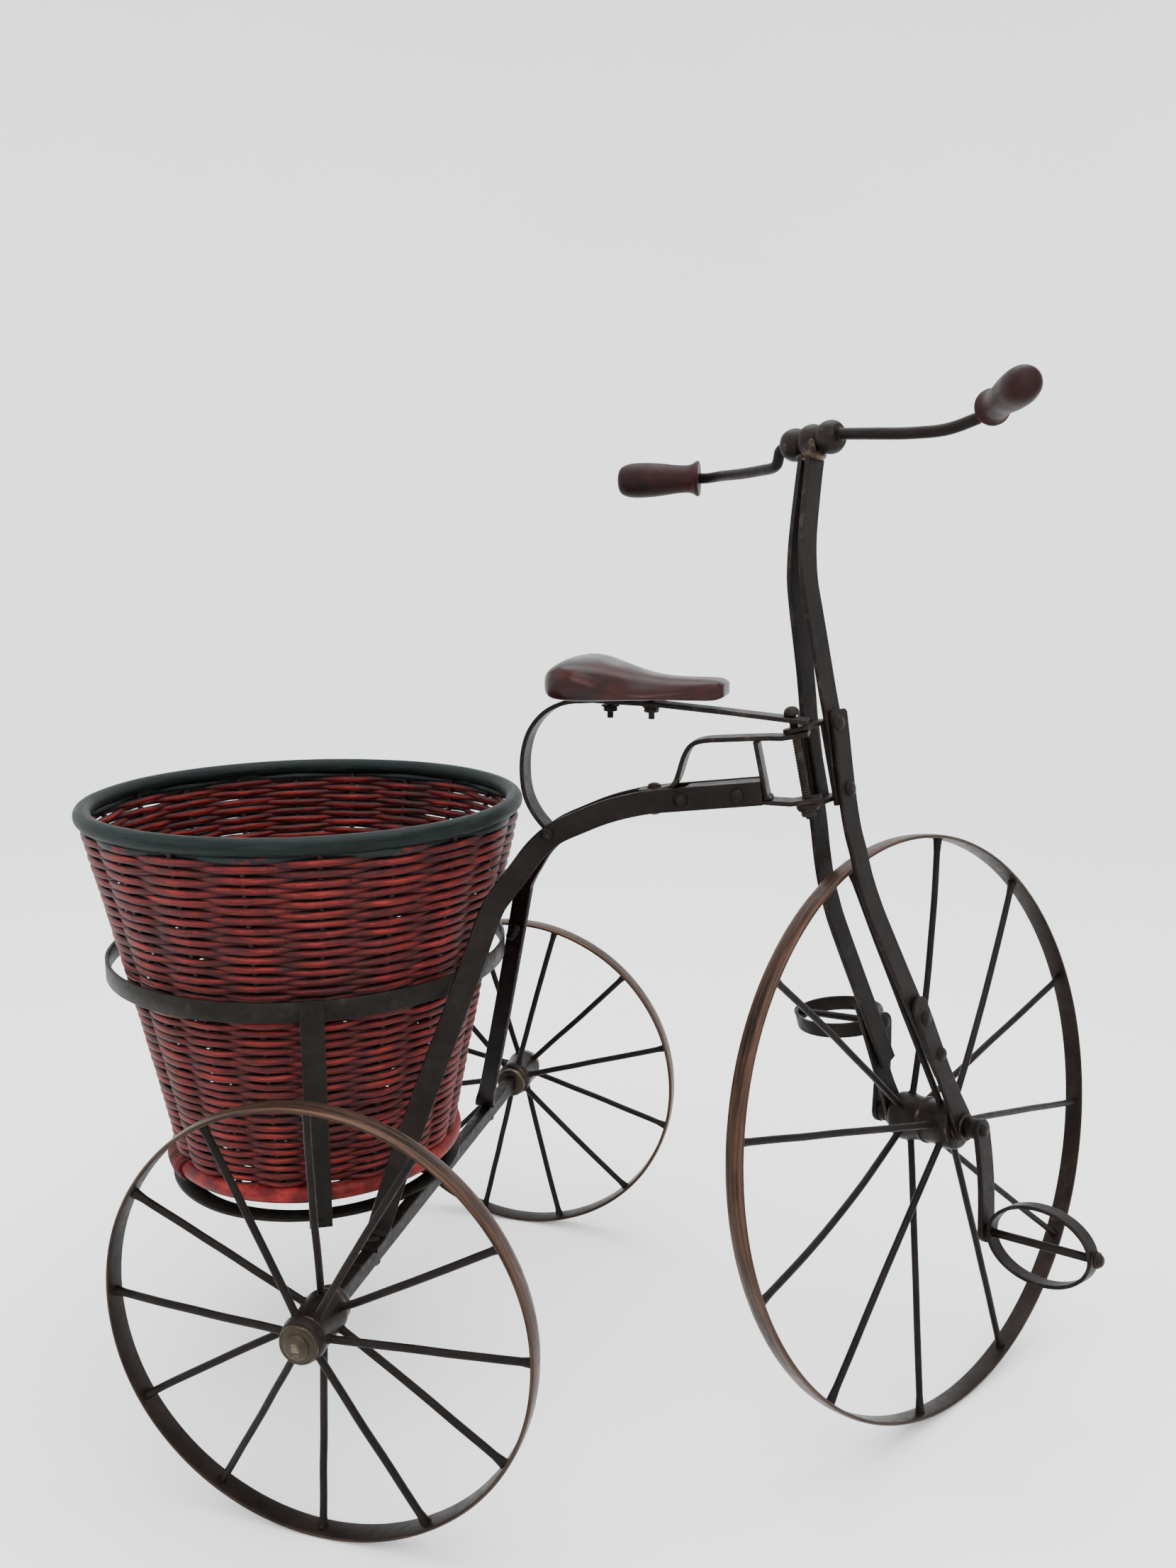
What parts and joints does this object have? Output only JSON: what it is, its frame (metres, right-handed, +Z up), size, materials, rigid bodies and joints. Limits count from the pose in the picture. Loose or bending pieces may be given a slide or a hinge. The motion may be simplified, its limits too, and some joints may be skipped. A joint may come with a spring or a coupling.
{
  "type": "ornamental iron tricycle basket stand",
  "caption": "Decorative wrought iron tricycle that stands on three spoked wheels and carries a lift-out woven basket behind a small carved saddle.",
  "frame": {"origin": "middle of the bounding box's underside, on the ground the three wheels stand on", "axes": "+X forward along the frame, from the rear wheels towards the front wheel; +Y to the rider's left, along the rear axle; +Z up"},
  "size_m": [0.7753, 0.4803, 0.7475],
  "materials": {
    "dark_iron": "satin waxed wrought iron",
    "rubbed_iron": "dark iron rubbed to copper on the treads",
    "brown_iron": "satin brown iron",
    "dull_brass": "dull, darkened",
    "olive_iron": "matt olive charcoal",
    "seat_wood": "glossy dark red-brown varnish",
    "grip_wood": "satin dark red-brown",
    "red_wicker": "stained woven wicker",
    "green_rim": "dark green painted cane"
  },
  "bodies": {
    "frame": {"axle_collar_left": "dull_brass", "axle_collar_right": "dull_brass", "basket_bearer_left": "olive_iron", "basket_bearer_right": "olive_iron", "basket_hoop": "olive_iron", "basket_ring": "olive_iron", "basket_stay_left": "olive_iron", "basket_stay_right": "olive_iron", "eye_rivet": "dark_iron", "foot_rivet_left": "dark_iron", "foot_rivet_right": "dark_iron", "head_post": "dark_iron", "head_strap_lower": "dark_iron", "head_strap_upper": "dark_iron", "pivot_bolt": "dark_iron", "pivot_dome_nut": "brown_iron", "pivot_nut": "brown_iron", "rear_crossbar": "dark_iron", "seat": "seat_wood", "seat_bolt_1": "dark_iron", "seat_bolt_2": "dark_iron", "seat_spring": "dark_iron", "spine_bar_left": "dark_iron", "spine_bar_right": "dark_iron", "spine_rivet_1": "dark_iron", "spine_rivet_2": "dark_iron", "spine_spacer": "dark_iron", "tail_rivet": "dark_iron"},
    "front_wheel": {"front_rim": "rubbed_iron", "front_hub": "brown_iron", "front_axle_rod": "dark_iron", "crank_right": "dark_iron", "crank_left": "dark_iron"},
    "pedal_right": {"pedal_ring_right": "dark_iron", "pedal_nut_right": "brown_iron"},
    "pedal_left": {"pedal_ring_left": "dark_iron", "pedal_nut_left": "brown_iron"},
    "rear_wheel_right": {"rear_rim_right": "rubbed_iron", "rear_hub_right": "brown_iron", "rear_cap_right": "dull_brass"},
    "rear_wheel_left": {"rear_rim_left": "rubbed_iron", "rear_hub_left": "brown_iron", "rear_cap_left": "dull_brass"},
    "basket": {"basket_body": "red_wicker", "basket_rim": "green_rim", "basket_foot": "red_wicker"},
    "fork": {"fork_bracket": "dark_iron", "fork_lower_left": "dark_iron", "fork_lower_right": "dark_iron", "fork_plate_left": "dark_iron", "fork_plate_right": "dark_iron", "fork_upper_left": "dark_iron", "fork_upper_right": "dark_iron", "grip_left": "grip_wood", "grip_right": "grip_wood", "handlebar_knob": "brown_iron", "handlebar_rod_left": "dark_iron", "handlebar_rod_right": "dark_iron"}
  },
  "joints": [
    {"name": "steering", "type": "hinge", "parent": "frame", "child": "fork", "pos_m": [0.1605, -0.0065, 0.4878], "axis": [-0.1994, 0, 0.9799], "range_deg": [-131.8, 18.2]},
    {"name": "front_wheel_spin", "type": "hinge", "parent": "fork", "child": "front_wheel", "pos_m": [0.25796, 0.05604, 0.21403], "axis": [-0.82, 0.5476, -0.1668], "continuous": true},
    {"name": "pedal_right_spin", "type": "hinge", "parent": "front_wheel", "child": "pedal_right", "pos_m": [0.33698, -0.0046, 0.15711], "axis": [-0.82, 0.5476, -0.1668], "continuous": true},
    {"name": "pedal_left_spin", "type": "hinge", "parent": "front_wheel", "child": "pedal_left", "pos_m": [0.1848, 0.12349, 0.26456], "axis": [-0.82, 0.5476, -0.1668], "continuous": true},
    {"name": "rear_wheel_right_spin", "type": "hinge", "parent": "frame", "child": "rear_wheel_right", "pos_m": [-0.1174, -0.2141, 0.15], "axis": [0, 1, 0], "continuous": true},
    {"name": "rear_wheel_left_spin", "type": "hinge", "parent": "frame", "child": "rear_wheel_left", "pos_m": [-0.1174, 0.2011, 0.15], "axis": [0, 1, 0], "continuous": true},
    {"name": "basket_lift", "type": "slide", "parent": "frame", "child": "basket", "axis": [0, 0, 1], "range_m": [0, 0.28]}
  ]
}
